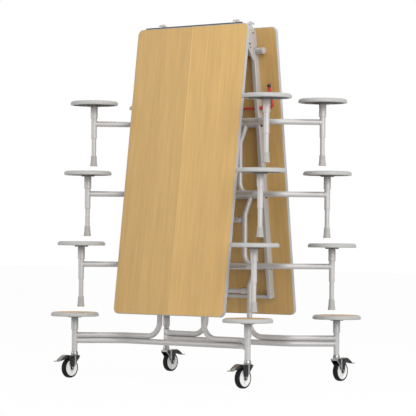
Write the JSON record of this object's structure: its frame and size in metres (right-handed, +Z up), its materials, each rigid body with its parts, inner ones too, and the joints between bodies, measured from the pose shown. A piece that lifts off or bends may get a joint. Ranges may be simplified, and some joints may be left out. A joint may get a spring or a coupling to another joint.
{
  "type": "folding cafeteria table with stools",
  "caption": "Mobile folding cafeteria table with attached round stools, wood-grain top, grey tube frame, folded upright on braked castors",
  "frame": {"origin": "on the floor, midway between the two folded halves, under the centre hinge", "axes": "+X along the centre hinge to the right as seen from the front half, +Y from the front half to the rear half, +Z up"},
  "size_m": [1.717, 1.272, 2.2753],
  "materials": {
    "laminate": "satin wood-grain plastic laminate on board",
    "edge": "light grey moulded edge",
    "seat": "moulded grey rim under a wood-grain laminate disc",
    "frame": "light warm grey powder coat, satin",
    "ferrule": "grey moulded foot on a grey tube",
    "strip": "dark matt bumper",
    "steel": "zinc-plated steel, bright",
    "tyre": "black tread on a pale hub",
    "pedal": "dark grey moulding",
    "lock": "red enamel, satin",
    "knob": "black, polished"
  },
  "bodies": {
    "front_base": {"front_carrier_4": "frame", "seat_front_4_left": "seat", "seat_front_4_right": "seat"},
    "front_top": {"front_tabletop": "laminate", "front_edge_band": "edge", "front_underframe": "frame", "centre_bumper_strip": "strip", "centre_hinge_rod": "steel"},
    "rear_top": {"rear_tabletop": "laminate", "rear_edge_band": "edge", "rear_underframe": "frame"},
    "rear_base": {"rear_carrier_4": "frame", "seat_rear_4_left": "seat", "seat_rear_4_right": "seat"},
    "front_row_1": {"front_carrier_1": "frame", "seat_front_1_left": "seat", "seat_front_1_right": "seat", "foot_front_1_left": "ferrule", "foot_front_1_right": "ferrule"},
    "front_row_2": {"front_carrier_2": "frame", "seat_front_2_left": "seat", "seat_front_2_right": "seat", "foot_front_2_left": "ferrule", "foot_front_2_right": "ferrule"},
    "front_row_3": {"front_carrier_3": "frame", "seat_front_3_left": "seat", "seat_front_3_right": "seat", "foot_front_3_left": "ferrule", "foot_front_3_right": "ferrule"},
    "front_link": {"front_levelling_link": "frame"},
    "rear_row_1": {"rear_carrier_1": "frame", "seat_rear_1_left": "seat", "seat_rear_1_right": "seat", "foot_rear_1_left": "ferrule", "foot_rear_1_right": "ferrule"},
    "rear_row_2": {"rear_carrier_2": "frame", "seat_rear_2_left": "seat", "seat_rear_2_right": "seat", "foot_rear_2_left": "ferrule", "foot_rear_2_right": "ferrule"},
    "rear_row_3": {"rear_carrier_3": "frame", "seat_rear_3_left": "seat", "seat_rear_3_right": "seat", "foot_rear_3_left": "ferrule", "foot_rear_3_right": "ferrule"},
    "rear_link": {"rear_levelling_link": "frame"},
    "lock": {"lock_rod": "lock", "lock_knob": "knob"},
    "castor_front_left": {"castor_fork_front_left": "steel"},
    "wheel_front_left": {"castor_wheel_front_left": "tyre"},
    "pedal_front_left": {"brake_pedal_front_left": "pedal"},
    "castor_front_right": {"castor_fork_front_right": "steel"},
    "wheel_front_right": {"castor_wheel_front_right": "tyre"},
    "pedal_front_right": {"brake_pedal_front_right": "pedal"},
    "castor_rear_left": {"castor_fork_rear_left": "steel"},
    "wheel_rear_left": {"castor_wheel_rear_left": "tyre"},
    "pedal_rear_left": {"brake_pedal_rear_left": "pedal"},
    "castor_rear_right": {"castor_fork_rear_right": "steel"},
    "wheel_rear_right": {"castor_wheel_rear_right": "tyre"},
    "pedal_rear_right": {"brake_pedal_rear_right": "pedal"}
  },
  "joints": [
    {"name": "fold", "type": "hinge", "parent": "front_base", "child": "front_top", "pos_m": [0, -0.292, 0.713], "axis": [-1, 0, 0], "range_deg": [0, 83], "stiffness_Nm_per_rad": 516, "springref_deg": -11.46},
    {"name": "centre_fold", "type": "hinge", "parent": "front_top", "child": "rear_top", "pos_m": [0, 0, 2.22795], "axis": [1, 0, 0], "range_deg": [0, 166]},
    {"name": "front_row_1_pivot", "type": "hinge", "parent": "front_top", "child": "front_row_1", "pos_m": [0, -0.12492, 2.07378], "axis": [1, 0, 0], "range_deg": [0, 83]},
    {"name": "front_row_2_pivot", "type": "hinge", "parent": "front_top", "child": "front_row_2", "pos_m": [0, -0.18061, 1.62019], "axis": [1, 0, 0], "range_deg": [0, 83]},
    {"name": "front_row_3_pivot", "type": "hinge", "parent": "front_top", "child": "front_row_3", "pos_m": [0, -0.23631, 1.16659], "axis": [1, 0, 0], "range_deg": [0, 83]},
    {"name": "rear_row_1_pivot", "type": "hinge", "parent": "rear_top", "child": "rear_row_1", "pos_m": [0, 0.12492, 2.07378], "axis": [-1, 0, 0], "range_deg": [0, 83]},
    {"name": "rear_row_2_pivot", "type": "hinge", "parent": "rear_top", "child": "rear_row_2", "pos_m": [0, 0.18061, 1.62019], "axis": [-1, 0, 0], "range_deg": [0, 83]},
    {"name": "rear_row_3_pivot", "type": "hinge", "parent": "rear_top", "child": "rear_row_3", "pos_m": [0, 0.23631, 1.16659], "axis": [-1, 0, 0], "range_deg": [0, 83]},
    {"name": "rear_base_pivot", "type": "hinge", "parent": "rear_top", "child": "rear_base", "pos_m": [0, 0.292, 0.713], "axis": [-1, 0, 0], "range_deg": [0, 83]},
    {"name": "front_link_pivot", "type": "hinge", "parent": "front_base", "child": "front_link", "pos_m": [0, -0.232, 0.563], "axis": [-1, 0, 0], "range_deg": [0, 83]},
    {"name": "rear_link_pivot", "type": "hinge", "parent": "rear_base", "child": "rear_link", "pos_m": [0, 0.232, 0.563], "axis": [1, 0, 0], "range_deg": [0, 83]},
    {"name": "lock_turn", "type": "hinge", "parent": "rear_top", "child": "lock", "pos_m": [0, 0.16718, 1.72961], "axis": [1, 0, 0], "range_deg": [0, 60]},
    {"name": "swivel_front_left", "type": "hinge", "parent": "front_base", "child": "castor_front_left", "pos_m": [-0.705, -0.456, 0.15], "axis": [0, 0, 1], "continuous": true},
    {"name": "roll_front_left", "type": "hinge", "parent": "castor_front_left", "child": "wheel_front_left", "pos_m": [-0.705, -0.5, 0.0635], "axis": [1, 0, 0], "continuous": true},
    {"name": "brake_front_left", "type": "hinge", "parent": "castor_front_left", "child": "pedal_front_left", "pos_m": [-0.705, -0.528, 0.134], "axis": [1, 0, 0], "range_deg": [0, 12]},
    {"name": "swivel_front_right", "type": "hinge", "parent": "front_base", "child": "castor_front_right", "pos_m": [0.705, -0.456, 0.15], "axis": [0, 0, 1], "continuous": true},
    {"name": "roll_front_right", "type": "hinge", "parent": "castor_front_right", "child": "wheel_front_right", "pos_m": [0.705, -0.5, 0.0635], "axis": [1, 0, 0], "continuous": true},
    {"name": "brake_front_right", "type": "hinge", "parent": "castor_front_right", "child": "pedal_front_right", "pos_m": [0.705, -0.528, 0.134], "axis": [1, 0, 0], "range_deg": [0, 12]},
    {"name": "swivel_rear_left", "type": "hinge", "parent": "rear_base", "child": "castor_rear_left", "pos_m": [-0.705, 0.456, 0.15], "axis": [0, 0, 1], "continuous": true},
    {"name": "roll_rear_left", "type": "hinge", "parent": "castor_rear_left", "child": "wheel_rear_left", "pos_m": [-0.705, 0.5, 0.0635], "axis": [1, 0, 0], "continuous": true},
    {"name": "brake_rear_left", "type": "hinge", "parent": "castor_rear_left", "child": "pedal_rear_left", "pos_m": [-0.705, 0.528, 0.134], "axis": [-1, 0, 0], "range_deg": [0, 12]},
    {"name": "swivel_rear_right", "type": "hinge", "parent": "rear_base", "child": "castor_rear_right", "pos_m": [0.705, 0.456, 0.15], "axis": [0, 0, 1], "continuous": true},
    {"name": "roll_rear_right", "type": "hinge", "parent": "castor_rear_right", "child": "wheel_rear_right", "pos_m": [0.705, 0.5, 0.0635], "axis": [1, 0, 0], "continuous": true},
    {"name": "brake_rear_right", "type": "hinge", "parent": "castor_rear_right", "child": "pedal_rear_right", "pos_m": [0.705, 0.528, 0.134], "axis": [-1, 0, 0], "range_deg": [0, 12]}
  ],
  "couplings": [
    {"joint": "centre_fold", "follows": "fold", "ratio": 2},
    {"joint": "front_row_1_pivot", "follows": "fold", "ratio": 1},
    {"joint": "front_row_2_pivot", "follows": "fold", "ratio": 1},
    {"joint": "front_row_3_pivot", "follows": "fold", "ratio": 1},
    {"joint": "rear_row_1_pivot", "follows": "fold", "ratio": 1},
    {"joint": "rear_row_2_pivot", "follows": "fold", "ratio": 1},
    {"joint": "rear_row_3_pivot", "follows": "fold", "ratio": 1},
    {"joint": "rear_base_pivot", "follows": "fold", "ratio": 1},
    {"joint": "front_link_pivot", "follows": "fold", "ratio": 1},
    {"joint": "rear_link_pivot", "follows": "fold", "ratio": 1}
  ]
}
